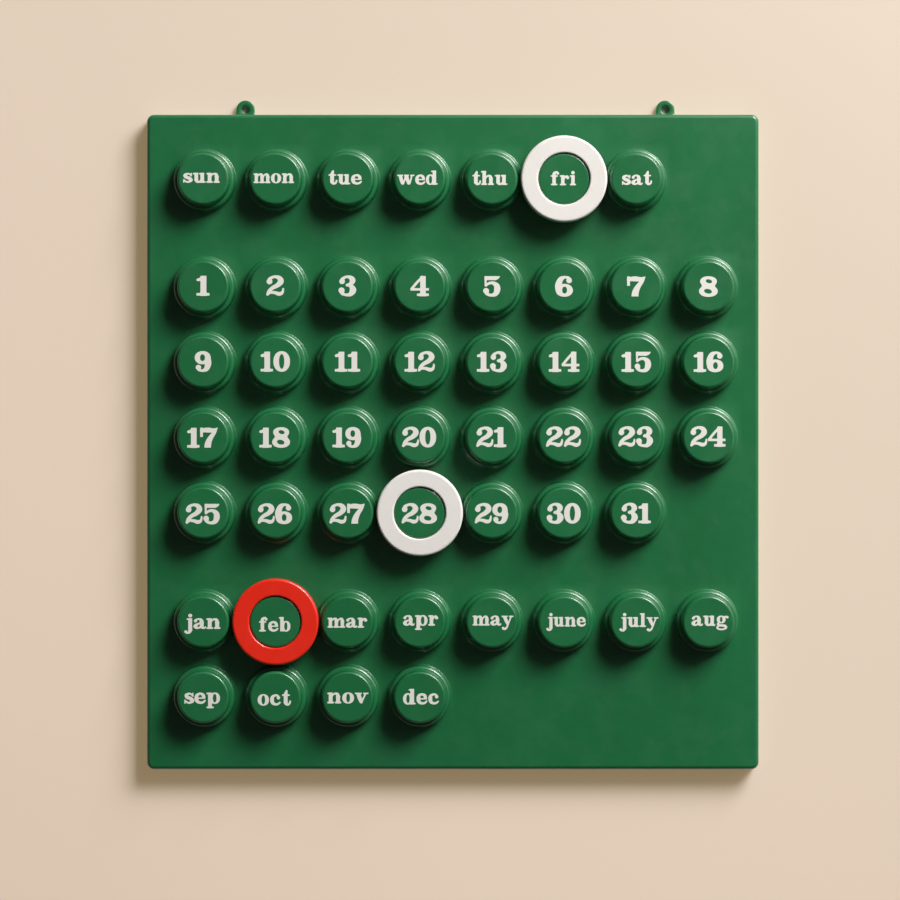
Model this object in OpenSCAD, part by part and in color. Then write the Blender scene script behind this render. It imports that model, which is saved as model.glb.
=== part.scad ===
// Perpetual wall calendar: a one-piece moulded board with fifty hollow stepped knobs,
// one for each day of the week, date and month, and three loose rings that mark today.
// Millimetres. +Z is up, the face looks along -Y, and the wall is the plane y = 0.
// The origin is the mid-point between the two hanging holes.

/* [Board] */
// Width of the board
board_w = 285; // [282:1:330]
// Height of the board
board_h = 305; // [302:1:360]
// Depth of the board, from the wall to its face
board_d = 9.5; // [8:0.5:16]
// Thickness of the moulded wall
wall = 2; // [1.4:0.1:2.6]
// Radius of the board's corners
corner_r = 3.4; // [2.6:0.1:9]
// Radius of the round along the face's edge
edge_r = 1.8; // [0.8:0.1:2.4]

/* [Layout] */
// Board's left side to the first column of knobs
left_margin = 27.1; // [22:0.1:29]
// Board's top side to the row of days
top_margin = 30.9; // [24:0.1:33]
// Knob to knob along a row
col_pitch = 33.36; // [32.4:0.02:33.6]
// Knob to knob from row to row in one group
row_pitch = 34.87; // [33:0.01:35]
// Row of days to the first row of dates
day_gap = 49.8; // [40:0.1:51]
// Last row of dates to the first row of months
month_gap = 50.4; // [40:0.1:51]

/* [Knob] */
// Height of a knob above the board's face
knob_h = 11.5; // [10:0.1:14]
// Diameter of a knob's lower step where it meets the face
foot_d = 28.8; // [28.6:0.1:31]
// Height of the step that a ring sits on
step_h = 5.5; // [4:0.1:6.5]
// Diameter of a knob's neck where it meets the step
neck_d = 25; // [20:0.1:25.4]
// Draft of the step's wall, in degrees
draft = 2; // [0.5:0.5:4]
// Taper of the neck and of a ring's bore, in degrees from the axis
taper = 6; // [2:0.5:8]
// Radius of the round on the step's edge
step_r = 1.6; // [0.6:0.1:2]
// Radius of the round on a knob's top edge
crown_r = 1.1; // [0.3:0.1:1.5]
// Radius of the fillet between a knob and the face
root_r = 0.5; // [0.4:0.1:1.2]

/* [Rings] */
// Outer diameter of a ring
ring_d = 40; // [36:0.1:41]
// Thickness of a ring
ring_t = 6.8; // [4:0.1:8]
// Clearance between a ring's bore and the neck, all round
ring_clearance = 0.1; // [0.1:0.05:0.8]
// Radius of the rounds on a ring's outer edges
ring_edge_r = 1.1; // [0.4:0.1:1.8]
// Radius of the round on the bore's front edge
bore_edge_r = 0.8; // [0.4:0.1:1.2]
// Day of the week that is marked, counted from Sunday
day_shown = 6; // [1:1:7]
// Date that is marked
date_shown = 28; // [1:1:31]
// Month that is marked
month_shown = 2; // [1:1:12]

/* [Hanging ears] */
// Hole to hole
ear_spacing = 196.3; // [120:0.1:240]
// Middle of the two ears, to the right of the board's middle
ear_shift = 1.2; // [-3:0.1:3]
// Height of the holes above the board's top side
hole_rise = 2.9; // [2.5:0.1:8]
// Diameter of a hanging hole
hole_d = 3.8; // [3:0.1:4.6]
// Diameter of an ear's round top
ear_d = 8.6; // [7.4:0.1:12]
// Thickness of an ear
ear_t = 2.4; // [1.6:0.1:4]
// Radius where an ear's sides run into the board
ear_root_r = 1.6; // [0.8:0.1:2.4]

/* [Hidden] */
$fn = 96;
// Steps in the quarter round of an edge or a fillet
arc_steps = 5;
// The same on a knob, kept low because there are fifty knobs
knob_arc_steps = 3;
// How far a fillet's foot dips into the face, so that the two surfaces cross
dip = 0.06;
// How far a cutter runs past a face
past = 1;

// Knobs in each row: the days, the dates in four rows, and the months in two
rows = [7, 8, 8, 8, 7, 8, 4];
date_row = 1;
month_row = 5;
// Rows of dates, and the number of dates or months in a full row
date_rows = 4;
full_row = 8;

top_z = -hole_rise;
left_x = -board_w / 2 - ear_shift;
face_y = -board_d;
inner_corner_r = max(corner_r - wall, 0.5);

foot_r = foot_d / 2;
// Radius of the step at its own height, before its edge is rounded
step_top_r = foot_r - step_h * tan(draft);
// The neck leaves room for a ledge, and the round on the step's edge keeps clear of the neck
neck_r = min(neck_d / 2, step_top_r - 0.8);
shoulder_r = min(step_r, step_top_r - neck_r - 0.1);
bore_r = neck_r + ring_clearance;

// Points of an arc about [cx, cy], from angle a0 to angle a1
function arc(cx, cy, r, a0, a1, steps = arc_steps) =
    [for (i = [0 : steps]) let (a = a0 + (a1 - a0) * i / steps) [cx + r * cos(a), cy + r * sin(a)]];

// Place of a row's centre line, measured down from the board's top side
function row_drop(row) =
    top_margin
    + (row >= date_row ? day_gap : 0)
    + (row >= month_row ? month_gap : 0)
    + (row > date_row ? min(row - date_row, date_rows - 1) : 0) * row_pitch
    + (row > month_row ? row - month_row : 0) * row_pitch;

// Radius of a wall that leans in by some degrees, at height h above its own foot
function wall_r(foot, h, lean) = foot - h * tan(lean);

function col_x(col) = left_x + left_margin + col * col_pitch;
function row_z(row) = top_z - row_drop(row);

// Convex round of radius r that a leaning wall runs into at its top edge, h above the wall's foot
function edge_round(foot, h, r, lean) =
    arc(wall_r(foot, h - r, lean) - r / cos(lean), h - r, r, lean, 90, knob_arc_steps);

// Concave fillet of radius r that leads from height h, just under the face, into the foot's wall
function root_fillet(h, r) =
    arc(wall_r(foot_r, h + r, draft) + r / cos(draft), h + r, r, 270, 180 + draft, knob_arc_steps);

// Points of a profile moved up
function raised(points, h) = [for (p = points) p + [0, h]];

// Outer profile of a knob, as [radius, height above the face]
function knob_outside() =
    let (foot_fillet = root_fillet(-dip, root_r))
    concat(
        [[0, -wall / 2], [foot_fillet[0].x, -wall / 2]],
        foot_fillet,
        edge_round(foot_r, step_h, shoulder_r, draft),
        [[neck_r, step_h]],
        raised(edge_round(neck_r, knob_h - step_h, crown_r, taper), step_h),
        [[0, knob_h]]
    );

// Profile of the hollow inside a knob, one wall inside the outer profile
function knob_inside() = [
    [0, -wall - past],
    [wall_r(foot_r, -wall - past, draft) - wall, -wall - past],
    [wall_r(foot_r, step_h, draft) - wall, step_h - wall],
    [neck_r - wall, step_h - wall],
    [wall_r(neck_r, knob_h - step_h, taper) - wall, knob_h - wall],
    [0, knob_h - wall]
];

// Turns a profile of [radius, height] about a line that stands out of the face
module turned(profile) {
    rotate([90, 0, 0])
        rotate_extrude()
            polygon(profile);
}

// Copies what follows to every knob's place on the face
module at_knobs() {
    for (row = [0 : len(rows) - 1])
        for (col = [0 : rows[row] - 1])
            translate([col_x(col), face_y, row_z(row)])
                children();
}

// One corner of the board, with the edge's round carried about it
module corner_post() {
    rotate([90, 0, 0])
        rotate_extrude($fn = 32)
            polygon(concat(
                [[0, 0], [corner_r, 0]],
                arc(corner_r - edge_r, board_d - edge_r, edge_r, 0, 90),
                [[0, board_d]]
            ));
}

// Board without knobs, filled, spanned between its four corners
module slab() {
    hull()
        for (x = [left_x + corner_r, left_x + board_w - corner_r])
            for (z = [top_z - corner_r, top_z - board_h + corner_r])
                translate([x, 0, z])
                    corner_post();
}

// Hollow of the board, open to the wall
module tray() {
    w = board_w - 2 * wall;
    h = board_h - 2 * wall;
    r = inner_corner_r;
    translate([left_x + wall, past, top_z - wall])
        rotate([90, 0, 0])
            linear_extrude(board_d - wall + past)
                polygon(concat(
                    arc(w - r, -r, r, 90, 0),
                    arc(w - r, r - h, r, 0, -90),
                    arc(r, r - h, r, 270, 180),
                    arc(r, -r, r, 180, 90)
                ));
}

// Hanging ear that stands on the board's top side, flush with the back
module ear() {
    half = ear_d / 2;
    root = -hole_rise - wall / 2;
    edge = -hole_rise;
    rotate([90, 0, 0])
        linear_extrude(ear_t) {
            circle(d = ear_d);
            polygon(concat(
                [[-half - ear_root_r, root]],
                arc(-half - ear_root_r, edge + ear_root_r, ear_root_r, 270, 360),
                [[-half, 0], [half, 0]],
                arc(half + ear_root_r, edge + ear_root_r, ear_root_r, 180, 270),
                [[half + ear_root_r, root]]
            ));
        }
}

module hanging_hole() {
    rotate([90, 0, 0])
        translate([0, 0, -past])
            cylinder(d = hole_d, h = ear_t + 2 * past);
}

// Copies what follows to both hanging holes
module at_ears() {
    for (side = [-1, 1])
        translate([side * ear_spacing / 2, 0, 0])
            children();
}

// The board, its knobs and its ears, moulded in one piece
module board() {
    color([0.13, 0.36, 0.22])
        difference() {
            union() {
                slab();
                at_knobs()
                    turned(knob_outside());
                at_ears()
                    ear();
            }
            tray();
            at_knobs()
                turned(knob_inside());
            at_ears()
                hanging_hole();
        }
}

// A ring that sits on a knob's step, given the knob's row and column
module marker_ring(row, col) {
    outer = ring_d / 2;
    bore_top = ring_t - bore_edge_r;
    bore_edge_x = wall_r(bore_r, bore_top, taper) + bore_edge_r / cos(taper);
    profile = concat(
        [[bore_r, 0]],
        arc(outer - ring_edge_r, ring_edge_r, ring_edge_r, -90, 0),
        arc(outer - ring_edge_r, ring_t - ring_edge_r, ring_edge_r, 0, 90),
        arc(bore_edge_x, bore_top, bore_edge_r, 90, 180 + taper)
    );
    translate([col_x(col), face_y - step_h, row_z(row)])
        turned(profile);
}

module day_ring() {
    color([0.9, 0.88, 0.85])
        marker_ring(0, day_shown - 1);
}

module date_ring() {
    place = date_shown - 1;
    color([0.9, 0.88, 0.85])
        marker_ring(date_row + floor(place / full_row), place % full_row);
}

module month_ring() {
    place = month_shown - 1;
    color([0.83, 0.17, 0.12])
        marker_ring(month_row + floor(place / full_row), place % full_row);
}

board();
day_ring();
date_ring();
month_ring();
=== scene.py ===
"""Perpetual wall calendar: a moulded green board of fifty stepped knobs, with three loose marker rings.

The wall is the plane y = 0, the board's face looks along -Y, +Z is up, and the origin is the mid-point
between the two hanging holes. Sizes are real ones, in metres.
"""

import bmesh
import bpy
import numpy as np
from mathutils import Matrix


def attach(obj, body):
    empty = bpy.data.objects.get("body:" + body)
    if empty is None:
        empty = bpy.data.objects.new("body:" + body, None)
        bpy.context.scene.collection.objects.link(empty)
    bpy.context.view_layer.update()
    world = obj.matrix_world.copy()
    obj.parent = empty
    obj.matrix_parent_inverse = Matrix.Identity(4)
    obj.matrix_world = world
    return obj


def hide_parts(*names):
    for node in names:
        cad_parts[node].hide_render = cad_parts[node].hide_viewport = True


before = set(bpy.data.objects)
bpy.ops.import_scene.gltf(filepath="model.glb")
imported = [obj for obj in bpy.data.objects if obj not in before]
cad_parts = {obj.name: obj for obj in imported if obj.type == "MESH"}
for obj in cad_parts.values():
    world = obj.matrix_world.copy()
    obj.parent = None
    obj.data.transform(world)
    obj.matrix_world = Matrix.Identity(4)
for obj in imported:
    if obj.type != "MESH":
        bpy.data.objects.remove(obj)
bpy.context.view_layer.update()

MM = 0.001

# Board
BOARD_W = 285 * MM
BOARD_H = 305 * MM
BOARD_D = 9.5 * MM
WALL = 2 * MM
CORNER_R = 3.4 * MM
EDGE_R = 1.8 * MM
LEFT_MARGIN = 27.1 * MM
TOP_MARGIN = 30.9 * MM
COL_PITCH = 33.36 * MM
ROW_PITCH = 34.87 * MM
DAY_GAP = 49.8 * MM
MONTH_GAP = 50.4 * MM
RIM_SOFT = 0.25 * MM
FLOOR_FILLET = 0.4 * MM

# Hanging ears
EAR_SPACING = 196.3 * MM
EAR_SHIFT = 1.2 * MM
HOLE_RISE = 2.9 * MM
HOLE_D = 3.8 * MM
EAR_D = 8.6 * MM
EAR_T = 2.4 * MM
EAR_ROOT_R = 1.6 * MM

# Knobs
KNOB_H = 11.5 * MM
FOOT_D = 28.8 * MM
STEP_H = 5.5 * MM
NECK_D = 25 * MM
DRAFT = np.radians(2)
TAPER = np.radians(6)
STEP_R = 1.6 * MM
CROWN_R = 1.1 * MM
ROOT_R = 0.5 * MM
NECK_ROOT_R = 0.15 * MM

# Marker rings
RING_D = 40 * MM
RING_T = 6.8 * MM
BORE_GAP = 0.1 * MM
RING_EDGE_R = 1.1 * MM
BORE_EDGE_R = 0.8 * MM
BORE_SOFT = 0.08 * MM

# Printed lettering
INK_T = 0.03 * MM
INK_SUNK = 0.02 * MM
DIGIT_H = 9.25 * MM

LEFT = -BOARD_W / 2 - EAR_SHIFT
TOP = -HOLE_RISE
FACE_Y = -BOARD_D
FLOOR_Y = -BOARD_D + WALL
TOP_Y = FACE_Y - KNOB_H

# Knobs in each row: the days, four rows of dates and two rows of months
ROW_LENGTHS = (7, 8, 8, 8, 7, 8, 4)
DAYS = ["sun", "mon", "tue", "wed", "thu", "fri", "sat"]
DATES = [str(date) for date in range(1, 32)]
MONTHS = ["jan", "feb", "mar", "apr", "may", "june", "july", "aug", "sep", "oct", "nov", "dec"]

COLUMNS = LEFT + LEFT_MARGIN + np.arange(8) * COL_PITCH
ROWS = TOP - TOP_MARGIN - np.cumsum([0, DAY_GAP, ROW_PITCH, ROW_PITCH, ROW_PITCH, MONTH_GAP, ROW_PITCH])
KNOBS = np.array([(COLUMNS[c], ROWS[r]) for r, count in enumerate(ROW_LENGTHS) for c in range(count)])
KNOB_OF = dict(zip(DAYS + DATES + MONTHS, KNOBS))


def arc(cx, cy, radius, start, end, steps):
    """Points of an arc: the centre plus the radius along each angle from start to end, in degrees."""
    angle = np.radians(np.linspace(start, end, steps + 1))
    return np.stack([cx + radius * np.cos(angle), cy + radius * np.sin(angle)], axis=1)


class Skin:
    """Patches of points and faces that become one mesh, in which points at one place are one point."""

    def __init__(self):
        self.points = []
        self.faces = {3: [], 4: []}
        self.size = 0

    def add(self, points, *faces):
        points = points.reshape(-1, 3)
        for f in faces:
            self.faces[f.shape[-1]].append(f.reshape(-1, f.shape[-1]) + self.size)
        self.points.append(points)
        self.size += len(points)

    def sheet(self, grid, wrap_rows=False, wrap_columns=True):
        """A grid of points of shape (..., rows, columns, 3): every four neighbours are one face."""
        rows, columns = grid.shape[-3:-1]
        index = np.arange(grid[..., 0].size).reshape(grid.shape[:-1])
        if wrap_rows:
            index = np.concatenate([index, index[..., :1, :]], axis=-2)
        if wrap_columns:
            index = np.concatenate([index, index[..., :1]], axis=-1)
        corners = [index[..., :-1, :-1], index[..., 1:, :-1], index[..., 1:, 1:], index[..., :-1, 1:]]
        self.add(grid, np.stack(corners, -1))

    def caps(self, centres, rims):
        """Discs: triangles from each centre to its rim, which has the shape (discs, around, 3)."""
        discs, around = rims.shape[:2]
        rim = discs + np.arange(discs * around).reshape(discs, around)
        centre = np.repeat(np.arange(discs)[:, None], around, axis=1)
        points = np.concatenate([centres, rims.reshape(-1, 3)])
        self.add(points, np.stack([centre, rim, np.roll(rim, -1, axis=1)], -1))

    def build(self, name, sharp=40):
        """The finished object, its faces outward and smooth but for the edges sharper than the angle."""
        faces = [np.concatenate(f) for f in self.faces.values() if f]
        corners = np.concatenate([f.ravel() for f in faces])
        counts = np.concatenate([np.full(len(f), f.shape[1]) for f in faces])
        mesh = bpy.data.meshes.new(name)
        mesh.vertices.add(self.size)
        mesh.vertices.foreach_set("co", np.concatenate(self.points).ravel())
        mesh.loops.add(len(corners))
        mesh.loops.foreach_set("vertex_index", corners)
        mesh.polygons.add(len(counts))
        mesh.polygons.foreach_set("loop_start", np.cumsum(counts) - counts)
        mesh.update(calc_edges=True)
        shell = bmesh.new()
        shell.from_mesh(mesh)
        bmesh.ops.remove_doubles(shell, verts=shell.verts, dist=1e-6)
        bmesh.ops.recalc_face_normals(shell, faces=shell.faces)
        shell.to_mesh(mesh)
        shell.free()
        mesh.shade_smooth()
        mesh.set_sharp_from_angle(angle=np.radians(sharp))
        obj = bpy.data.objects.new(name, mesh)
        bpy.context.collection.objects.link(obj)
        return obj


# Board

# Faces along each side of the square that a knob stands in, and round the knob
SIDE = 12
ROUND = 4 * SIDE
AROUND = np.radians(45 + np.arange(ROUND) * 360 / ROUND)


def steps_between(start, cells, end, before, after):
    """Grid lines along one side of the board: from edge to edge, through each knob's square."""
    stops = [start]
    firsts = []
    for low, high in cells:
        if abs(low - stops[-1]) > 1e-9:
            stops.extend(np.linspace(stops[-1], low, (before if len(stops) == 1 else 5) + 1)[1:])
        firsts.append(len(stops) - 1)
        stops.extend(np.linspace(low, high, SIDE + 1)[1:])
    stops.extend(np.linspace(stops[-1], end, after + 1)[1:])
    return np.array(stops), firsts


def pierced_sheet(skin, xs, zs, first_columns, first_rows, y, radius):
    """A flat sheet at depth y, with a round hole of the radius given at each knob.

    The sheet is a grid, left out over each knob's square. There a ring of faces joins the square's outline
    to the hole: the point at each step round the outline goes to the point at the same step round the hole.
    """
    gx, gz = np.meshgrid(xs, zs)
    index = np.arange(gx.size).reshape(gx.shape)
    keep = np.ones((len(zs) - 1, len(xs) - 1), bool)
    outlines = []
    for r, count in enumerate(ROW_LENGTHS):
        for c in first_columns[:count]:
            r0 = first_rows[r]
            keep[r0:r0 + SIDE, c:c + SIDE] = False
            top = index[r0, c + SIDE:c:-1]
            left = index[r0:r0 + SIDE, c]
            bottom = index[r0 + SIDE, c:c + SIDE]
            right = index[r0 + SIDE:r0:-1, c + SIDE]
            outlines.append(np.concatenate([top, left, bottom, right]))
    quads = np.stack([index[:-1, :-1], index[1:, :-1], index[1:, 1:], index[:-1, 1:]], -1)[keep]
    holes = at_knobs(np.array([[radius, y]]))[:, 0]
    outer = np.array(outlines)
    inner = gx.size + np.arange(outer.size).reshape(outer.shape)
    collars = np.stack([outer, np.roll(outer, -1, 1), np.roll(inner, -1, 1), inner], -1)
    sheet = np.stack([gx, np.full_like(gx, y), gz], -1).reshape(-1, 3)
    skin.add(np.concatenate([sheet, holes.reshape(-1, 3)]), quads, collars)


def at_knobs(profile):
    """A profile of (radius, y) turned about each knob's axis, of shape (knobs, profile, around, 3)."""
    radius, y = profile[:, :1], profile[:, 1:]
    shape = (len(KNOBS), len(profile), ROUND)
    x = KNOBS[:, 0, None, None] + radius * np.cos(AROUND)
    z = KNOBS[:, 1, None, None] + radius * np.sin(AROUND)
    return np.stack([x, np.broadcast_to(y, shape), z], -1)


def edge_round(foot, foot_h, height, radius, lean, steps):
    """Round at the top of a leaning wall: an arc tangent to the wall and to the flat at the height."""
    side = foot - (height - radius - foot_h) * np.tan(lean)
    return arc(side - radius / np.cos(lean), height - radius, radius, np.degrees(lean), 90, steps)


def root_fillet(foot, height, radius, lean, steps):
    """Fillet at the foot of a leaning wall: an arc tangent to the flat at the height and to the wall."""
    side = foot - radius * np.tan(lean)
    return arc(side + radius / np.cos(lean), height + radius, radius, 270, 180 + np.degrees(lean), steps)


def knob_outside():
    """Profile of a knob as (radius, height): fillet, foot, rounded step, neck, rounded crown, flat top."""
    foot_r, neck_r = FOOT_D / 2, NECK_D / 2
    crown = edge_round(neck_r, STEP_H, KNOB_H, CROWN_R, TAPER, 6)
    return np.vstack([
        root_fillet(foot_r, 0, ROOT_R, DRAFT, 4),
        edge_round(foot_r, 0, STEP_H, STEP_R, DRAFT, 8),
        root_fillet(neck_r, STEP_H, NECK_ROOT_R, TAPER, 2),
        crown,
        [crown[-1] - (0.2 * MM, 0)],
    ])


def knob_inside():
    """Profile of a knob's hollow as (radius, height): one wall inside, with a small round at each corner."""
    foot_r, neck_r = FOOT_D / 2 - WALL, NECK_D / 2 - WALL
    soft = 0.35 * MM
    shoulder_r, shoulder_h = foot_r - STEP_H * np.tan(DRAFT), STEP_H - WALL
    top_r, top_h = neck_r - (KNOB_H - STEP_H) * np.tan(TAPER), KNOB_H - WALL
    return np.array([
        (foot_r + WALL * np.tan(DRAFT), -WALL),
        (shoulder_r, shoulder_h - soft),
        (shoulder_r - soft, shoulder_h),
        (neck_r + soft, shoulder_h),
        (neck_r, shoulder_h + soft),
        (top_r, top_h - soft),
        (top_r - soft, top_h),
    ])


def rim(skin, xs, zs):
    """The board's edge: a profile of (outward, y) carried round the flat part's outline.

    At each point of the outline the profile stands along the outline's outward normal, and at a corner
    it turns about the corner's own point through 90 degrees.
    """
    inner_r = CORNER_R - WALL
    profile = np.vstack([
        [(0, FACE_Y), (CORNER_R - EDGE_R - 0.2 * MM, FACE_Y)],
        arc(CORNER_R - EDGE_R, FACE_Y + EDGE_R, EDGE_R, 270, 360, 8),
        [(CORNER_R, -2 * MM)],
        arc(CORNER_R - RIM_SOFT, -RIM_SOFT, RIM_SOFT, 0, 90, 3),
        arc(inner_r + RIM_SOFT, -RIM_SOFT, RIM_SOFT, 90, 180, 3),
        arc(inner_r - FLOOR_FILLET, FLOOR_Y + FLOOR_FILLET, FLOOR_FILLET, 0, -90, 3),
        [(0, FLOOR_Y)],
    ])
    corner = 8
    sides = [
        (np.stack([xs, np.full_like(xs, zs[0])], 1), 90),
        (np.stack([np.full_like(zs, xs[-1]), zs], 1), 0),
        (np.stack([xs[::-1], np.full_like(xs, zs[-1])], 1), -90),
        (np.stack([np.full_like(zs, xs[0]), zs[::-1]], 1), -180),
    ]
    base, turn = [], []
    for points, angle in sides:
        base.extend([points, np.repeat(points[-1:], corner - 1, axis=0)])
        turn.extend([np.full(len(points), angle), angle - np.arange(1, corner) * 90 / corner])
    base, turn = np.concatenate(base), np.radians(np.concatenate(turn))
    outward = np.stack([np.cos(turn), np.sin(turn)], 1)
    place = base[None] + outward[None] * profile[:, :1, None]
    y = np.broadcast_to(profile[:, 1:], place.shape[:2])
    skin.sheet(np.stack([place[..., 0], y, place[..., 1]], -1))


def ear(skin, x):
    """A hanging ear: a closed band between the hole's circle and the ear's outline.

    The outline is a half circle on two straight sides that run out into the board in fillets. It is read
    at equal angles round the hole, and the band's section is carried along both curves.
    """
    around = 72
    half, low, root = EAR_D / 2, -HOLE_RISE - 0.6 * WALL, -HOLE_RISE
    outline = np.vstack([
        arc(0, 0, half, 0, 180, 40),
        arc(-half - EAR_ROOT_R, root + EAR_ROOT_R, EAR_ROOT_R, 0, -90, 8),
        [(-half - EAR_ROOT_R, low), (half + EAR_ROOT_R, low)],
        arc(half + EAR_ROOT_R, root + EAR_ROOT_R, EAR_ROOT_R, 270, 180, 8),
    ])
    angle = np.unwrap(np.arctan2(outline[:, 1], outline[:, 0]))
    reach = np.hypot(outline[:, 0], outline[:, 1])
    turn = np.linspace(0, 2 * np.pi, around, endpoint=False)
    edge = np.interp(turn, angle, reach, period=2 * np.pi)
    hole = np.full(around, HOLE_D / 2)
    soft, fine = 0.4 * MM, 0.12 * MM
    section = [
        (hole, fine, 0), (hole, 0, -fine), (hole, 0, soft - EAR_T), (hole, 0.3 * soft, 0.3 * soft - EAR_T),
        (hole, soft, -EAR_T), (edge, -soft, -EAR_T), (edge, -0.3 * soft, 0.3 * soft - EAR_T),
        (edge, 0, soft - EAR_T), (edge, 0, -fine), (edge, -fine, 0),
    ]
    radius = np.array([curve + shift for curve, shift, _ in section])
    y = np.broadcast_to(np.array([[depth] for _, _, depth in section]), radius.shape)
    skin.sheet(np.stack([x + radius * np.cos(turn), y, radius * np.sin(turn)], -1), wrap_rows=True)


def board():
    """The whole moulding: face, knobs, rim, hollow back and ears, as one skin."""
    skin = Skin()
    half_col, half_row = COL_PITCH / 2, ROW_PITCH / 2
    xs, first_columns = steps_between(
        LEFT + CORNER_R, [(x - half_col, x + half_col) for x in COLUMNS], LEFT + BOARD_W - CORNER_R, 2, 2)
    zs, first_rows = steps_between(
        TOP - CORNER_R, [(z + half_row, z - half_row) for z in ROWS], TOP - BOARD_H + CORNER_R, 3, 4)
    outside = knob_outside() * (1, -1) + (0, FACE_Y)
    inside = knob_inside() * (1, -1) + (0, FACE_Y)
    for profile in (outside, inside):
        turned = at_knobs(profile)
        skin.sheet(turned)
        centres = np.stack([KNOBS[:, 0], np.full(len(KNOBS), profile[-1, 1]), KNOBS[:, 1]], -1)
        skin.caps(centres, turned[:, -1])
        pierced_sheet(skin, xs, zs, first_columns, first_rows, profile[0, 1], profile[0, 0])
    rim(skin, xs, zs)
    for side in (-1, 1):
        ear(skin, side * EAR_SPACING / 2)
    obj = skin.build("board_moulding")
    climb(obj.data, outside)
    return obj


def climb(mesh, profile):
    """Writes how far each point is up its knob's side, as the attribute "climb", in metres.

    That is its height over the face plus how far it is in from the knob's foot, held at nought on the
    face and at its greatest on the knob's flat top.
    """
    at = np.empty(len(mesh.vertices) * 3)
    mesh.vertices.foreach_get("co", at)
    at = at.reshape(-1, 3)
    near = np.hypot(at[:, None, 0] - KNOBS[:, 0], at[:, None, 2] - KNOBS[:, 1]).min(1)
    foot, flat = profile[0, 0], profile[-2, 0]
    up = np.clip(FACE_Y - at[:, 1] + foot - near, 0, KNOB_H + foot - flat)
    mesh.attributes.new("climb", "FLOAT", "POINT").data.foreach_set("value", up)


# Rings

def marker(name, label):
    """A ring on the knob of a label: a closed section of flats and rounds, turned about the knob's axis.

    The bore leans in by the neck's taper towards the front.
    """
    bore, outer, near = NECK_D / 2 + BORE_GAP, RING_D / 2, 0.2 * MM
    bore_top = RING_T - BORE_EDGE_R
    round_x = bore - bore_top * np.tan(TAPER) + BORE_EDGE_R / np.cos(TAPER)
    section = np.vstack([
        [(bore - BORE_SOFT * np.tan(TAPER), BORE_SOFT), (bore + BORE_SOFT, 0), (bore + 2 * near, 0)],
        [(outer - RING_EDGE_R - near, 0)],
        arc(outer - RING_EDGE_R, RING_EDGE_R, RING_EDGE_R, -90, 0, 7),
        arc(outer - RING_EDGE_R, RING_T - RING_EDGE_R, RING_EDGE_R, 0, 90, 7),
        [(outer - RING_EDGE_R - near, RING_T), (round_x + near, RING_T)],
        arc(round_x, bore_top, BORE_EDGE_R, 90, 180 + np.degrees(TAPER), 6),
    ])
    x, z = KNOB_OF[label]
    turn = np.radians(np.arange(0, 360, 3.75))
    radius, y = section[:, :1], FACE_Y - STEP_H - section[:, 1:]
    skin = Skin()
    skin.sheet(np.stack([
        x + radius * np.cos(turn), np.broadcast_to(y, (len(section), len(turn))), z + radius * np.sin(turn),
    ], -1), wrap_rows=True)
    return skin.build(name)


# Lettering: a bold slab-serif face. A glyph's units are hundredths of a digit's height.

X_HEIGHT = 50.0
ASCENDER = 70.0
SERIF = 7.0
BRACKET = 4.0
GRID_STEP = 1.1
GRID_MARGIN = 6.0
LOWEST = -26.0
HIGHEST = 104.0
# How far the ink spreads past the outline drawn
SPREAD = -0.1


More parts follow.
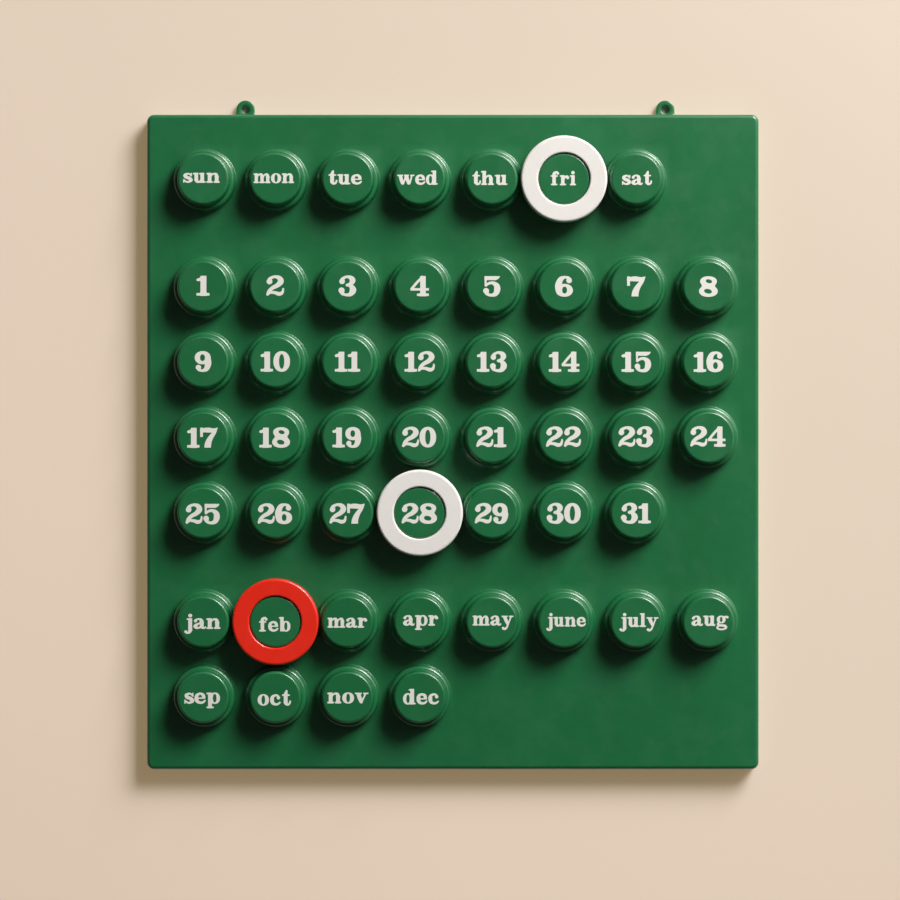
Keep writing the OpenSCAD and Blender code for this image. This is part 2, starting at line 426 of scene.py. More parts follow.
class Ink:
    """A glyph on a grid: each point holds its distance to the ink's edge, negative inside."""

    def __init__(self, width):
        self.x = np.arange(-GRID_MARGIN, width + GRID_MARGIN, GRID_STEP)
        self.y = np.arange(LOWEST - GRID_MARGIN, HIGHEST + GRID_MARGIN, GRID_STEP)
        self.gx, self.gy = np.meshgrid(self.x, self.y)
        self.far = np.full(self.gx.shape, 99.0)

    def join(self, other, bracket=BRACKET):
        """Adds a shape: the nearer of the two edges, taken in further where they are about equally near."""
        near = np.maximum(bracket - np.abs(self.far - other), 0.0) / bracket
        self.far = np.minimum(self.far, other) - near * near * bracket / 4.0

    def cut(self, other):
        self.far = np.maximum(self.far, -other)

    def slab(self, x0, x1, y0, y1, soft=1.0):
        """Distance to a box with corners of radius soft."""
        dx = np.abs(self.gx - (x0 + x1) / 2) - (x1 - x0) / 2 + soft
        dy = np.abs(self.gy - (y0 + y1) / 2) - (y1 - y0) / 2 + soft
        outside = np.hypot(np.maximum(dx, 0), np.maximum(dy, 0))
        return outside + np.minimum(np.maximum(dx, dy), 0) - soft

    def oval(self, cx, cy, rx, ry, power=2.15, turn=0.0):
        """Distance to an oval, squarer as the power rises, near enough for its edge."""
        c, s = np.cos(np.radians(turn)), np.sin(np.radians(turn))
        u = ((self.gx - cx) * c + (self.gy - cy) * s) / rx
        v = ((self.gy - cy) * c - (self.gx - cx) * s) / ry
        return ((np.abs(u) ** power + np.abs(v) ** power) ** (1 / power) - 1) * min(rx, ry)

    def stroke(self, *points):
        """Distance to a pen line: discs of x, y and half width along a smooth curve through the points."""
        p = np.array(points, float)
        p = np.vstack([2 * p[0] - p[1], p, 2 * p[-1] - p[-2]])
        t = np.linspace(0, 1, 12, endpoint=False)[:, None]
        runs = [
            0.5 * (2 * b + (c - a) * t + (2 * a - 5 * b + 4 * c - d) * t**2 + (3 * b - a - 3 * c + d) * t**3)
            for a, b, c, d in zip(p, p[1:], p[2:], p[3:])
        ]
        far = np.full(self.gx.shape, 99.0)
        for x, y, r in np.vstack(runs + [p[-2:-1]]):
            far = np.minimum(far, np.hypot(self.gx - x, self.gy - y) - r)
        return far

    def stem(self, x0, x1, low, high, foot=None, head=None):
        """An upright with slab serifs, each given by its two ends or left out."""
        self.join(self.slab(x0, x1, low, high))
        if foot:
            self.join(self.slab(*foot, low, low + SERIF))
        if head:
            self.join(self.slab(*head, high - SERIF, high))

    def arch(self, left, right, width=17):
        """The shoulder that springs from an upright's side and comes down as the next upright."""
        self.join(self.stroke((left - 3, 35, 3.3), (left + 8, 45, 4.5), (right + 5, 43.5, 6.7),
                              (right + 8.5, 32, 8.4)))
        self.join(self.slab(right, right + width, 0, 33))
        self.join(self.slab(right - 5.5, right + width + 5.5, 0, SERIF))

    def bowl(self, cx, cy, rx, ry, ix, iy, shift=0.0):
        """An oval with an oval counter."""
        self.join(self.oval(cx, cy, rx, ry))
        self.cut(self.oval(cx + shift, cy, ix, iy, 2.1))


def draw_1(k):
    k.join(k.slab(19, 47.5, 0, 99))
    k.join(k.stroke((7, 79, 7), (17, 81, 8), (27, 86, 9.5), (36, 88, 9)))
    k.join(k.slab(0, 62, 0, 13), 7)


def draw_2(k):
    k.join(k.stroke((17, 71, 14), (21, 86, 8.5), (42, 95, 7), (63, 89, 11), (71, 72, 14), (56, 53, 11.5),
                    (33, 40, 9.5), (16, 24, 8.5), (8, 7, 6)))
    k.join(k.stroke((8, 7, 6), (22, 16, 6.5), (42, 15.5, 8), (61, 9.5, 9.5), (75, 13, 8), (81, 25, 5.5),
                    (82, 35, 4.5)), 3)


def draw_3(k):
    k.join(k.stroke((18, 72, 13.5), (22, 86, 8), (41, 95.5, 6.5), (61, 89.5, 11), (68, 76, 13.8),
                    (59, 61, 9), (42, 54.5, 6)))
    k.join(k.stroke((42, 53.5, 6), (59, 50, 9), (70, 30, 15.5), (59, 9.5, 11), (39, 5, 7),
                    (20, 12, 8.5), (15.5, 28, 14.5)))


def draw_4(k):
    k.join(k.slab(46.5, 73, 0, 100))
    k.join(k.stroke((6, 36, 6.5), (31, 67, 6.5), (57, 96, 5.5)), 2)
    k.join(k.slab(1, 88, 27, 39.5), 3)
    k.join(k.slab(31, 88, 0, 12.5), 6)


def draw_5(k):
    k.join(k.stroke((15, 52, 4.5), (27, 63, 6.5), (47, 66, 8), (65, 53, 13), (68, 33, 15),
                    (60, 12, 11.5), (40, 5, 7.5), (21, 11, 8), (15, 27, 14)))
    k.join(k.slab(8, 18, 50, 99), 3)
    k.join(k.slab(8, 62, 80, 100), 3)
    k.join(k.stroke((58, 90, 10), (69, 92.5, 7.3), (79, 98, 2.2)), 2)


def draw_6(k):
    k.join(k.oval(43.5, 30, 40.5, 32))
    k.join(k.stroke((66, 79, 13.5), (62, 91, 8), (46, 95.5, 6.5), (27, 86, 12), (16, 62, 15), (14, 40, 14),
                    (22, 20, 14)))
    k.cut(k.oval(44.5, 31, 11.5, 17))


def draw_7(k):
    k.join(k.slab(0.5, 14.5, 53, 100))
    k.join(k.stroke((8, 84, 8), (26, 87.5, 11.5), (45, 87.5, 12.5), (63, 86, 10.5), (77, 91, 6.5),
                    (86, 98, 2.2)), 3)
    k.join(k.stroke((83, 94, 3.5), (72, 76, 8.5), (54, 51, 12), (41, 23, 15.5), (37, -10, 17)), 2)
    k.cut(k.slab(-9, 99, -40, 0, 0))


def draw_8(k):
    k.join(k.oval(45, 76, 40, 25.5))
    k.join(k.oval(44.5, 27, 44.5, 28.5), 16)
    k.cut(k.oval(47, 76.5, 15, 9.5, 2.1, -14))
    k.cut(k.oval(42.5, 26.5, 18.5, 11.5, 2.1, -12))


def draw_9(k):
    k.join(k.oval(38, 68.5, 38, 33))
    k.join(k.stroke((62, 62, 14), (64, 40, 15), (56, 14, 12), (38, 4, 6.5), (22, 8, 7.5), (17.5, 20, 13)))
    k.cut(k.oval(37, 68.5, 11.5, 16.5))


def draw_0(k):
    k.bowl(41, 50, 41.5, 51.5, 13, 36.5)


def draw_a(k):
    k.join(k.stroke((9.5, 37.5, 7), (14, 44, 4.6), (25, 47, 4.2), (34, 42, 7), (36.5, 31, 8.6)))
    k.join(k.slab(28, 45, 9, 34))
    k.join(k.stroke((36.5, 10, 8.6), (43, 3.6, 4.8), (49.5, 4.2, 4), (52.5, 8.5, 2.8)), 2)
    k.join(k.stroke((32, 27, 2.8), (18, 22.5, 5), (9.5, 12.5, 8.8), (15, 4.3, 5.3), (26, 5.5, 4.3),
                    (32, 12, 3)), 2)


def draw_b(k):
    k.bowl(34.5, 25, 21.5, 26.5, 7.5, 19.5, -1)
    k.stem(6, 23, 0, ASCENDER, None, (0, 22))


def draw_c(k):
    k.join(k.stroke((38.5, 34.5, 7.8), (35.5, 43, 5), (26, 46, 5), (12.5, 39, 7), (10, 25, 9),
                    (13, 11, 7.5), (26, 4.3, 5.6), (38, 7, 4.8), (45.5, 13.5, 3.6)))


def draw_d(k):
    k.bowl(21.5, 25, 21.5, 26.5, 7.5, 19.5, 1)
    k.stem(33, 50, 0, ASCENDER, (34, 57), (26, 48))


def draw_e(k):
    k.join(k.stroke((41, 30, 7.2), (37, 40.5, 7), (25, 46, 5.2), (11.5, 39, 7), (9, 25, 9), (12, 11, 7.5),
                    (25, 4.3, 5.8), (38, 6.5, 5.2), (46, 14, 4)))
    k.join(k.slab(10, 47.5, 22, 28.5), 2)


def draw_f(k):
    k.stem(8, 25, 0, 50, (1, 33))
    k.join(k.stroke((16.5, 46, 8.5), (17, 58, 8), (23, 65.5, 5.2), (31, 67, 4.2)))
    k.join(k.stroke((32, 65, 4), (34.5, 60, 7)), 2)
    k.join(k.slab(0, 35, 43, 50), 3)


def draw_g(k):
    k.join(k.oval(24, 31.5, 21, 19.5))
    k.join(k.stroke((36, 41, 4), (44, 46, 4), (53, 43, 6.4)), 3)
    k.join(k.stroke((13, 16, 4), (8.5, 9, 5.5), (14, 2.5, 6), (30, 1.5, 6.2), (44, -2.5, 6.8),
                    (45.5, -12, 5), (30, -18, 4.2), (13, -16.5, 4.6), (5.5, -9, 5), (12, -1, 4)), 2)
    k.cut(k.oval(24, 31.5, 6, 13))


def draw_h(k):
    k.stem(6, 23, 0, ASCENDER, (0, 28), (0, 22))
    k.arch(23, 37)


def draw_i(k):
    k.stem(6.5, 23.5, 0, X_HEIGHT, (0, 30), (0, 22))
    k.join(k.oval(15, 63.5, 8.8, 8.8, 2), 1)


def draw_j(k):
    k.stem(14, 31, -8, X_HEIGHT, None, (7, 29))
    k.join(k.stroke((22.5, -7, 8.5), (18.5, -17, 6), (10, -19.5, 5), (3.5, -14, 6.8)), 2)
    k.join(k.oval(22.5, 63.5, 8.8, 8.8, 2), 1)


def draw_l(k):
    k.stem(6, 23, 0, ASCENDER, (-1, 30), (0, 22))


def draw_m(k):
    k.stem(5.5, 21.5, 0, X_HEIGHT, (0, 26), (0, 20))
    k.arch(21.5, 34, 16)
    k.arch(51, 62.5, 16)


def draw_n(k):
    k.stem(6, 23, 0, X_HEIGHT, (0, 29), (0, 22))
    k.arch(23, 38)


def draw_o(k):
    k.bowl(25.5, 25, 25.5, 26.5, 8, 20)


def draw_p(k):
    k.bowl(37, 25, 22, 26.5, 8, 19.5, -1)
    k.stem(7, 24, -21, X_HEIGHT, (0, 32), (0, 22))


def draw_r(k):
    k.stem(6, 23, 0, X_HEIGHT, (0, 31), (0, 22))
    k.join(k.stroke((21, 33, 4), (28, 43, 4.4), (35, 45, 5.2), (38.5, 38, 7.8)), 2)


def draw_s(k):
    k.join(k.stroke((37, 37, 3.5), (31, 43.5, 4), (23, 46, 4.8), (10.5, 39.5, 7.2), (13.5, 30, 8),
                    (29, 23, 8.4), (37, 13, 8), (28, 5, 5.2), (17, 4.5, 4.5), (8, 12, 3.5)))
    k.join(k.slab(35.5, 41.5, 32, 50), 2)
    k.join(k.slab(1.5, 7.5, 0, 18.5), 2)


def draw_t(k):
    k.join(k.slab(10.5, 28, 9, 52))
    k.join(k.stroke((19, 50, 8.3), (21.5, 59, 6.5), (23.5, 66.5, 4.2)), 3)
    k.join(k.slab(3, 38, 43, 50), 3)
    k.join(k.stroke((19.3, 12, 8.6), (24, 4.5, 6), (32, 4.5, 5), (38, 11, 4.4), (39.5, 19, 4)), 2)


def draw_u(k):
    k.join(k.slab(7, 24, 12, X_HEIGHT))
    k.join(k.slab(0, 24, X_HEIGHT - SERIF, X_HEIGHT))
    k.join(k.stroke((15.5, 13, 8.5), (20, 4.5, 5.5), (30, 5, 5), (37, 12, 3.5)), 2)
    k.stem(34, 51, 0, X_HEIGHT, (38, 58), (28, 50))


def draw_v(k):
    k.join(k.stroke((14.5, 46, 8.6), (20.5, 26, 9), (27, 7, 7)))
    k.join(k.stroke((46.5, 46, 3.8), (37, 24, 3.8), (28.5, 3, 4)), 2)
    k.join(k.slab(0, 30, X_HEIGHT - SERIF, X_HEIGHT), 3)
    k.join(k.slab(36, 59, X_HEIGHT - SERIF, X_HEIGHT), 3)
    k.cut(k.slab(-9, 99, X_HEIGHT, 90, 0))


def draw_w(k):
    for x in (0.0, 30.0):
        k.join(k.stroke((x + 15, 46, 8.6), (x + 19.5, 26, 8.6), (x + 25, 7.5, 7.4)))
        k.join(k.stroke((x + 41, 46, 4), (x + 36, 24, 4), (x + 29.5, 4.5, 4.4)), 2)
    for ends in ((0, 28), (33, 57), (63, 84)):
        k.join(k.slab(*ends, X_HEIGHT - SERIF, X_HEIGHT), 3)
    k.cut(k.slab(-9, 99, X_HEIGHT, 90, 0))


def draw_y(k):
    k.join(k.stroke((14.5, 46, 8.6), (22, 26, 8.6), (30, 7, 6)))
    k.join(k.stroke((47, 46, 3.8), (39, 25, 3.8), (30, 1, 4.2), (24, -12, 5), (15.5, -19, 5),
                    (8, -14.5, 7.2)), 2)
    k.join(k.slab(0, 30, X_HEIGHT - SERIF, X_HEIGHT), 3)
    k.join(k.slab(36, 59, X_HEIGHT - SERIF, X_HEIGHT), 3)
    k.cut(k.slab(-9, 99, X_HEIGHT, 90, 0))


# Each glyph's width and how it is drawn
GLYPHS = {
    "0": (82, draw_0), "1": (61, draw_1), "2": (86, draw_2), "3": (85, draw_3), "4": (88, draw_4),
    "5": (83, draw_5), "6": (84, draw_6), "7": (86, draw_7), "8": (89, draw_8), "9": (78, draw_9),
    "a": (53, draw_a), "b": (56, draw_b), "c": (48, draw_c), "d": (57, draw_d), "e": (49, draw_e),
    "f": (41, draw_f), "g": (57, draw_g), "h": (60, draw_h), "i": (30, draw_i), "j": (32, draw_j),
    "l": (29, draw_l), "m": (83, draw_m), "n": (61, draw_n), "o": (51, draw_o), "p": (59, draw_p),
    "r": (46, draw_r), "s": (42, draw_s), "t": (40, draw_t), "u": (58, draw_u), "v": (59, draw_v),
    "w": (84, draw_w), "y": (59, draw_y),
}

# For each pattern of inked corners of a grid square (bits 1, 2, 4, 8 from its lower left, anticlockwise),
# the sides that the ink's edge crosses: 0 below, 1 right, 2 above, 3 left
CROSSINGS = {
    1: [(3, 0)], 2: [(0, 1)], 3: [(3, 1)], 4: [(1, 2)], 5: [(3, 0), (1, 2)], 6: [(0, 2)], 7: [(3, 2)],
    8: [(3, 2)], 9: [(0, 2)], 10: [(0, 1), (3, 2)], 11: [(1, 2)], 12: [(3, 1)], 13: [(0, 1)], 14: [(3, 0)],
}


def cut_out(name):
    """A glyph as flat points, triangles and outline edges.

    The outline crosses a side of a grid square where the distance, taken as straight along that side,
    is zero. A distance of nearly zero is raised a little, so that no two crossings fall together. The
    triangles fill between the outlines.
    """
    width, draw = GLYPHS[name]
    k = Ink(width)
    draw(k)
    far = k.far - SPREAD
    far = np.where(np.abs(far) < 0.05, 0.05, far)
    inked = far < 0
    flat = inked[:, :-1] != inked[:, 1:]
    up = inked[:-1] != inked[1:]
    flat_run = far[:, :-1][flat] / (far[:, :-1] - far[:, 1:])[flat] * GRID_STEP
    up_run = far[:-1][up] / (far[:-1] - far[1:])[up] * GRID_STEP
    flat_id = np.full(flat.shape, -1)
    flat_id[flat] = np.arange(flat.sum())
    up_id = np.full(up.shape, -1)
    up_id[up] = flat.sum() + np.arange(up.sum())
    points = np.concatenate([
        np.stack([k.gx[:, :-1][flat] + flat_run, k.gy[:, :-1][flat]], 1),
        np.stack([k.gx[:-1][up], k.gy[:-1][up] + up_run], 1),
    ])
    sides = np.stack([flat_id[:-1], up_id[:, 1:], flat_id[1:], up_id[:, :-1]])
    pattern = inked[:-1, :-1] + 2 * inked[:-1, 1:] + 4 * inked[1:, 1:] + 8 * inked[1:, :-1]
    edges = np.concatenate([
        sides[[a, b]][:, pattern == case].T for case, crossed in CROSSINGS.items() for a, b in crossed
    ])
    flat_mesh = bmesh.new()
    verts = [flat_mesh.verts.new((x, y, 0)) for x, y in points]
    lines = [flat_mesh.edges.new((verts[a], verts[b])) for a, b in edges]
    flat_mesh.verts.index_update()
    bmesh.ops.triangle_fill(flat_mesh, use_beauty=True, edges=lines)
    triangles = np.array([[v.index for v in face.verts] for face in flat_mesh.faces])
    flat_mesh.free()
    return points, triangles, edges


CUT_OUTS = {name: cut_out(name) for name in GLYPHS}

# How far apart letters and digits stand
SPACE = 3.5

# Print of each word, as (left, right, baseline, x-height) in millimetres from its knob's axis
WORD_PRINTS = {
    "sun": (-9.2, 7.7, -1.85, 4.5), "mon": (-10.0, 8.65, -2.0, 4.4), "tue": (-8.75, 6.7, -2.6, 4.6),
    "wed": (-10.35, 8.25, -2.75, 4.6), "thu": (-9.0, 7.1, -2.85, 4.55), "fri": (-6.15, 5.5, -3.0, 4.55),
    "sat": (-6.6, 7.3, -2.85, 4.6), "jan": (-8.7, 8.0, -3.15, 4.8), "feb": (-7.5, 7.0, -4.35, 4.7),
    "mar": (-9.2, 9.15, -2.6, 4.5), "apr": (-7.7, 8.55, -1.65, 4.7), "may": (-8.9, 10.0, -1.6, 4.5),
    "june": (-8.25, 10.1, -2.05, 4.3), "july": (-7.8, 10.25, -2.25, 4.45), "aug": (-7.85, 9.3, -1.75, 4.6),
    "sep": (-8.65, 7.8, -2.85, 5.0), "oct": (-8.15, 7.3, -3.65, 5.05), "nov": (-9.3, 9.7, -2.7, 4.9),
    "dec": (-7.7, 8.9, -3.15, 5.0),
}

# Print of each row of dates: its shift to the right and its rise at its first and last knob, in millimetres
DATE_ROW_PRINTS = ((-0.05, 0.4, -0.05), (0.0, 0.25, 0.05), (-0.3, -0.1, 0.4), (-0.2, -0.45, -0.1))

# How much wider a single digit is set than a digit of two
SINGLE_WIDER = 1.05


def set_line(text):
    """Glyphs in a row, each as far right as the widths and spaces before it: points, triangles and edges."""
    pen, start, rows = 0.0, 0, ([], [], [])
    for letter in text:
        points, triangles, edges = CUT_OUTS[letter]
        rows[0].append(points + (pen, 0))
        rows[1].append(triangles + start)
        rows[2].append(edges + start)
        pen += GLYPHS[letter][0] + SPACE
        start += len(points)
    return [np.concatenate(r) for r in rows]


def stretched(points, left, right, baseline, unit):
    """Points with baseline and height set by one unit, and their width stretched from left to right."""
    low, high = points[:, 0].min(), points[:, 0].max()
    x = left + (points[:, 0] - low) * (right - left) / (high - low)
    return np.stack([x, baseline + points[:, 1] * unit], 1)


def word_print(text):
    """A word's left and right end, baseline and height unit, from its knob's axis."""
    left, right, baseline, x_height = (v * MM for v in WORD_PRINTS[text])
    return left, right, baseline, x_height / X_HEIGHT


def number_print(text, points):
    """The same for a date, whose digits keep their own width about the middle of its print."""
    row, column = divmod(int(text) - 1, 8)
    shift, first_rise, last_rise = (v * MM for v in DATE_ROW_PRINTS[row])
    half = np.ptp(points[:, 0]) * DIGIT_H / 200 * (SINGLE_WIDER if len(text) == 1 else 1)
    baseline = first_rise + (last_rise - first_rise) * column / 7 - DIGIT_H / 2
    return shift - half, shift + half, baseline, DIGIT_H / 100


def print_on(name, labels):
    """Ink on the labels' knobs: each flat shape, its twin under the surface, and a wall between them."""
    skin = Skin()
    for text in labels:
        points, triangles, edges = set_line(text)
        points = stretched(points, *(number_print(text, points) if text.isdigit() else word_print(text)))
        x, z = KNOB_OF[text]
        levels = [
            np.stack([x + points[:, 0], np.full(len(points), y), z + points[:, 1]], 1)
            for y in (TOP_Y - INK_T, TOP_Y + INK_SUNK)
        ]
        under = len(points)
        walls = np.stack([edges[:, 0], edges[:, 1], edges[:, 1] + under, edges[:, 0] + under], 1)
        skin.add(np.concatenate(levels), triangles, triangles[:, ::-1] + under, walls)
    return skin.build(name, sharp=30)


# Materials

class Value:
    """A shader socket in plain arithmetic: an operator on values adds the Math node that it stands for."""

    def __init__(self, shader, socket):
        self.shader, self.socket = shader, socket

    def _with(self, operation, first, second):
        return self.shader.node("ShaderNodeMath", {"operation": operation}, {0: first, 1: second})[0]

    def __add__(self, other):
        return self._with("ADD", self, other)

    def __mul__(self, other):
        return self._with("MULTIPLY", self, other)

    __radd__ = __add__
    __rmul__ = __mul__


class Shader:
    """A material's node tree, with one way to add any node."""

    def __init__(self, name, world=False):
        self.owner = bpy.data.worlds.new(name) if world else bpy.data.materials.new(name)
        self.owner.use_nodes = True
        self.tree = self.owner.node_tree
        self.tree.nodes.clear()

    def node(self, kind, settings=None, values=None):
        """Adds a node: its settings first, then a number, colour or link for each named socket."""
        made = self.tree.nodes.new(kind)
        for key, setting in (settings or {}).items():
            setattr(made, key, setting)
        for key, value in (values or {}).items():
            socket = made.inputs[key]
            if isinstance(value, Value):
                self.tree.links.new(value.socket, socket)
            else:
                socket.default_value = value
        return [Value(self, socket) for socket in made.outputs]

    def mixed(self, share, first, second):
        """Two colours mixed by a share."""
        return self.node("ShaderNodeMix", {"data_type": "RGBA"}, {0: share, 6: first, 7: second})[2]

    def noise(self, place, scale, detail=2.0, roughness=0.5):
        """Noise from 0 to 1, at so many waves a metre."""
        return self.node("ShaderNodeTexNoise", None, {
            "Vector": place, "Scale": scale, "Detail": detail, "Roughness": roughness})[0]

    def between(self, value, low, high, to_low=0.0, to_high=1.0):
        """A value's range low to high laid over another range, held at its ends."""
        return self.node("ShaderNodeMapRange", {"interpolation_type": "SMOOTHSTEP"}, {
            0: value, 1: low, 2: high, 3: to_low, 4: to_high})[0]

    def seen(self):
        """1 for the rays of the camera, of mirrors and of clear things, and 0 for the rest."""
        rays = self.node("ShaderNodeLightPath")
        return rays[0] + rays[3] + rays[6]

    def end(self, surface):
        of_world = isinstance(self.owner, bpy.types.World)
        kind = "ShaderNodeOutputWorld" if of_world else "ShaderNodeOutputMaterial"
        self.node(kind, None, {"Surface": surface})
        return self.owner


def moulded_plastic(name, colour, deep, roughness, coat, turned=0.0):
    """Injection-moulded plastic: its pigment drifts a little between two colours, as the melt flowed.

    Sink marks some 15 mm wide and a moulded grain under half a millimetre stand in its surface, and wear
    has dulled it in faint patches. Where it is turned, fine lines run round the knobs' sides, as the tool
    left them in the mould.
    """
    s = Shader(name)
    place = s.node("ShaderNodeTexCoord")[3]
    flow = s.node("ShaderNodeMapping", None, {"Vector": place, "Scale": (1.0, 1.0, 0.35)})[0]
    drift = s.between(s.noise(flow, 26.0, 3.0, 0.55), 0.3, 0.7)
    cloud = s.noise(place, 240.0, 4.0, 0.6)
    shade = s.mixed(drift, deep, colour)
    paler = tuple(1.25 * c for c in colour[:3]) + (1.0,)
    shade = s.mixed(s.between(cloud, 0.35, 0.75, 0.0, 0.10), shade, paler)
    worn = s.between(s.noise(place, 75.0, 5.0, 0.65), 0.42, 0.68)
    fine = s.noise(place, 2600.0, 2.0, 0.6)
    waves = s.noise(place, 62.0, 1.0, 0.4)
    relief = s.node("ShaderNodeBump", None, {
        "Strength": 0.35, "Distance": 0.00006, "Height": fine})[0]
    relief = s.node("ShaderNodeBump", None, {
        "Strength": 0.30, "Distance": 0.0004, "Height": waves, "Normal": relief})[0]
    if turned:
        up = s.node("ShaderNodeAttribute", {"attribute_name": "climb"})[2]
        lines = s.node("ShaderNodeTexNoise", {"noise_dimensions": "1D"}, {
            "W": up, "Scale": 1500.0, "Detail": 1.0, "Roughness": 0.5})[0]
        relief = s.node("ShaderNodeBump", None, {
            "Strength": turned, "Distance": 0.0001, "Height": lines, "Normal": relief})[0]
    return s.end(s.node("ShaderNodeBsdfPrincipled", None, {
        "Base Color": shade,
        "Roughness": worn * 0.10 + cloud * 0.06 + (roughness - 0.08),
        "IOR": 1.5,
        "Coat Weight": worn * (-0.25 * coat) + coat,
        "Coat Roughness": 0.14,
        "Coat IOR": 1.45,
        "Normal": relief,
    })[0])


def printing_ink(name, colour):
    """White ink from a printing pad: even, but thin in small specks, with a fine dry skin."""
    s = Shader(name)
    place = s.node("ShaderNodeTexCoord")[3]
    specks = s.between(s.noise(place, 1900.0, 3.0, 0.7), 0.60, 0.78, 0.0, 0.16)
    patches = s.between(s.noise(place, 160.0, 3.0, 0.6), 0.35, 0.7, 0.0, 0.10)
    shade = s.mixed(patches, colour, tuple(0.86 * c for c in colour[:3]) + (1.0,))
    shade = s.mixed(specks, shade, (0.28, 0.40, 0.31, 1.0))
    relief = s.node("ShaderNodeBump", None, {
        "Strength": 0.3, "Distance": 0.00003, "Height": s.noise(place, 3200.0, 2.0)})[0]
    return s.end(s.node("ShaderNodeBsdfPrincipled", None, {
        "Base Color": shade, "Roughness": patches * 0.6 + 0.46, "IOR": 1.45, "Normal": relief})[0])


def painted_wall():
    """Warm off-white wall paint with a faint roller texture, painted darker towards the lamps on the upper
    right as painted shade that tempers their stronger light there. Its back is clear, so that it hides
    nothing.

    It has a painted glow, seen by the camera, in mirrors and through clear things, that lifts its shade as a
    bright room's bounced light would; the glow is left out behind the holes, where the ears shade the wall.
    """
    s = Shader("wall_paint")
    place = s.node("ShaderNodeTexCoord")[3]
    # Painted shade: the paint grows darker towards the lamps on the upper right, tempering their stronger
    # light there; the noise adds a faint random tone on top.
    to_light = s.node("ShaderNodeVectorMath", {"operation": "DOT_PRODUCT"}, {
        0: place, 1: (0.62, 0.0, 0.78)})[1]
    drift = s.noise(place, 3.0, 3.0) * 0.1 + s.between(to_light, -0.42, 0.14)
    shade = s.mixed(drift, (0.66, 0.567, 0.52, 1.0), (0.485, 0.43, 0.395, 1.0))
    relief = s.node("ShaderNodeBump", None, {
        "Strength": 0.15, "Distance": 0.0002, "Height": s.noise(place, 420.0, 3.0)})[0]
    sideways = s.node("ShaderNodeVectorMath", {"operation": "ABSOLUTE"}, {0: place})[0]
    from_hole = s.node("ShaderNodeVectorMath", {"operation": "DISTANCE"}, {
        0: sideways, 1: (EAR_SPACING / 2, 0, 0)})[1]
    # Painted glow mask: the painted glow is on everywhere except behind the hanging holes, where the ears
    # shade the wall.
    painted_glow_mask = s.between(from_hole, 0.0022, 0.0042)
    paint = s.node("ShaderNodeBsdfPrincipled", None, {
        "Base Color": shade, "Roughness": 0.85, "Specular IOR Level": 0.25, "Normal": relief,
        # Painted light: a warm glow, seen only by the camera, in mirrors and through clear things, lifts the
        # wall's shade.
        "Emission Color": s.mixed(s.seen() * painted_glow_mask, (0.0, 0.0, 0.0, 1.0), (0.243, 0.175, 0.093, 1.0)),
        "Emission Strength": 1.0})[0]
    clear = s.node("ShaderNodeBsdfTransparent")[0]
    behind = s.node("ShaderNodeNewGeometry")[6]
    return s.end(s.node("ShaderNodeMixShader", None, {0: behind, 1: paint, 2: clear})[0])


GREEN = (0.006, 0.142, 0.044, 1.0)
GREEN_DEEP = (0.005, 0.128, 0.038, 1.0)
WHITE = (0.82, 0.795, 0.765, 1.0)
WHITE_DEEP = (0.80, 0.775, 0.74, 1.0)
RED = (0.84, 0.024, 0.008, 1.0)
RED_DEEP = (0.80, 0.020, 0.006, 1.0)
INK = (0.78, 0.77, 0.725, 1.0)


def finish_piece(obj, body, slot, material, *nodes):
    """Gives a piece its material and its body, and hides the nodes that it stands for. Its slot is not used.
    """
    obj.data.materials.append(material)
    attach(obj, body)
    if nodes:
        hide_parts(*nodes)


green_plastic = moulded_plastic("green_plastic", GREEN, GREEN_DEEP, 0.46, 0.95, turned=0.25)
white_plastic = moulded_plastic("white_plastic", WHITE, WHITE_DEEP, 0.40, 0.4)
red_plastic = moulded_plastic("red_plastic", RED, RED_DEEP, 0.36, 0.8)
white_print = printing_ink("white_print", INK)

finish_piece(board(), "board", "green_plastic", green_plastic, "board")
finish_piece(marker("day_marker", "fri"), "day_ring", "white_plastic", white_plastic, "day_ring")
finish_piece(marker("date_marker", "28"), "date_ring", "white_plastic", white_plastic, "date_ring")
finish_piece(marker("month_marker", "feb"), "month_ring", "red_plastic", red_plastic, "month_ring")
for print_name, print_labels in (("day_print", DAYS), ("date_print", DATES), ("month_print", MONTHS)):
    finish_piece(print_on(print_name, print_labels), "board", "white_print", white_print)


# Stage, light and camera

def wall():
    """A flat wall just behind the board's back: four corners in the plane of the hanging holes.

    It casts no shadow, so that the lamp behind it lights the board's back.
    """
    reach, y = 3.0, 0.0004
    mesh = bpy.data.meshes.new("wall")
    corners = [(-reach, y, -reach), (reach, y, -reach), (reach, y, reach), (-reach, y, reach)]
    mesh.from_pydata(corners, [], [(0, 1, 2, 3)])
    obj = bpy.data.objects.new("wall", mesh)
    obj.data.materials.append(painted_wall())
    obj.visible_shadow = False
    bpy.context.collection.objects.link(obj)


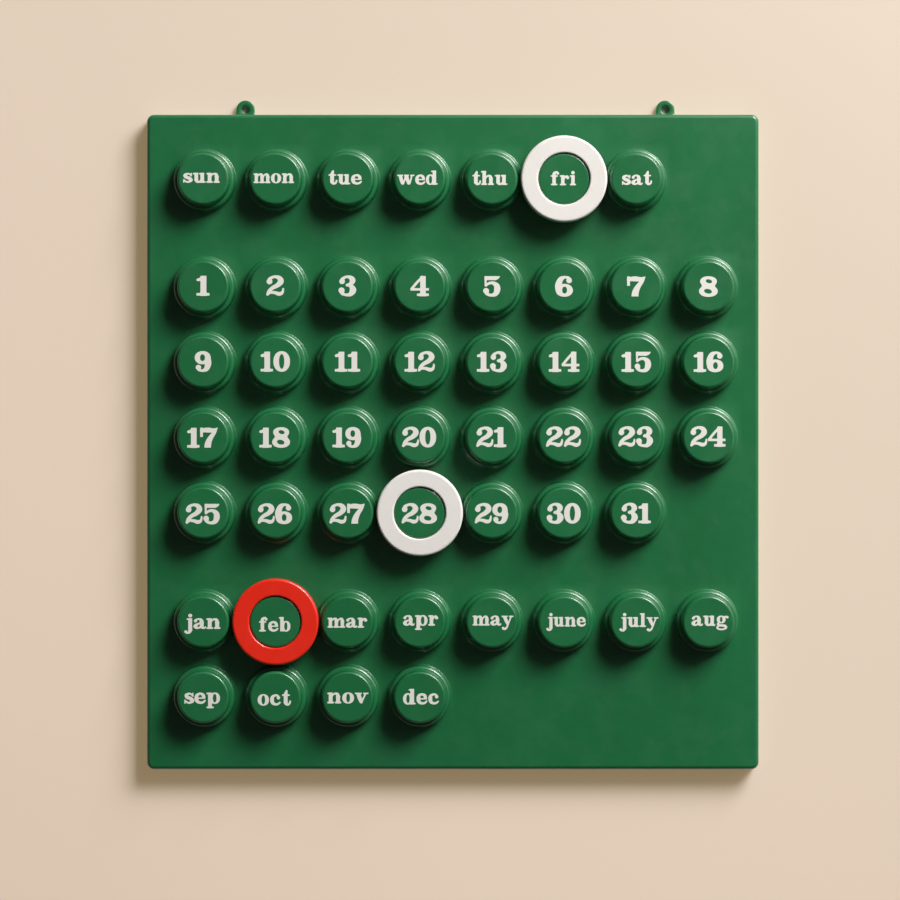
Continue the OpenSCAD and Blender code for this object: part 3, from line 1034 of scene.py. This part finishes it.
def look_from(obj, place, target):
    """Puts an object at a place, with its -Z axis at the target and its top up."""
    back = np.array(place, float) - target
    back /= np.linalg.norm(back)
    right = np.cross((0, 0, 1), back)
    right /= np.linalg.norm(right)
    turn = np.eye(4)
    turn[:3] = np.stack([right, np.cross(back, right), back, place], 1)
    obj.matrix_world = turn.T.tolist()


def lamp(name, place, target, width, height, watts, colour):
    light = bpy.data.lights.new(name, "AREA")
    light.shape, light.size, light.size_y = "RECTANGLE", width, height
    light.energy, light.color = watts, colour
    obj = bpy.data.objects.new(name, light)
    bpy.context.collection.objects.link(obj)
    look_from(obj, place, target)


CENTRE = np.array([-EAR_SHIFT, FACE_Y, TOP - BOARD_H / 2])

# The photograph's frame, 900 pixels wide, at the plane of the board's face
FRAME_W = 418.93 * MM
CAMERA_BACK = 1.55
AIM_LEFT = 1.31 * MM
AIM_DOWN = 3.76 * MM

camera = bpy.data.objects.new("camera", bpy.data.cameras.new("camera"))
bpy.context.collection.objects.link(camera)
camera.data.lens = camera.data.sensor_width * CAMERA_BACK / FRAME_W
aim = CENTRE - (AIM_LEFT, 0, AIM_DOWN)
look_from(camera, aim - (0, CAMERA_BACK, 0), aim)
bpy.context.scene.camera = camera

# A soft window high on the right, 58 degrees off the wall's normal, the bright side of the room beyond it,
# and a lamp behind the wall for the board's back
DAYLIGHT = (1.0, 0.98, 0.95)
for light_name, direction, distance, side, watts in (
    ("window", (0.517, -0.533, 0.669), 2.0, 0.9, 63),
    ("bright_side", (0.665, -0.375, 0.646), 1.9, 2.2, 14),
    ("back", (0.2, 0.933, 0.3), 2.2, 1.0, 34),
):
    lamp(light_name, CENTRE + np.array(direction) * distance, CENTRE, side, side, watts, DAYLIGHT)

room = Shader("room", world=True)
bpy.context.scene.world = room.end(room.node("ShaderNodeBackground", None, {
    "Color": (1.0, 0.96, 0.90, 1.0), "Strength": room.node("ShaderNodeLightPath")[0] * 0.7 + 0.05})[0])

wall()

bpy.context.scene.view_settings.view_transform = "Standard"
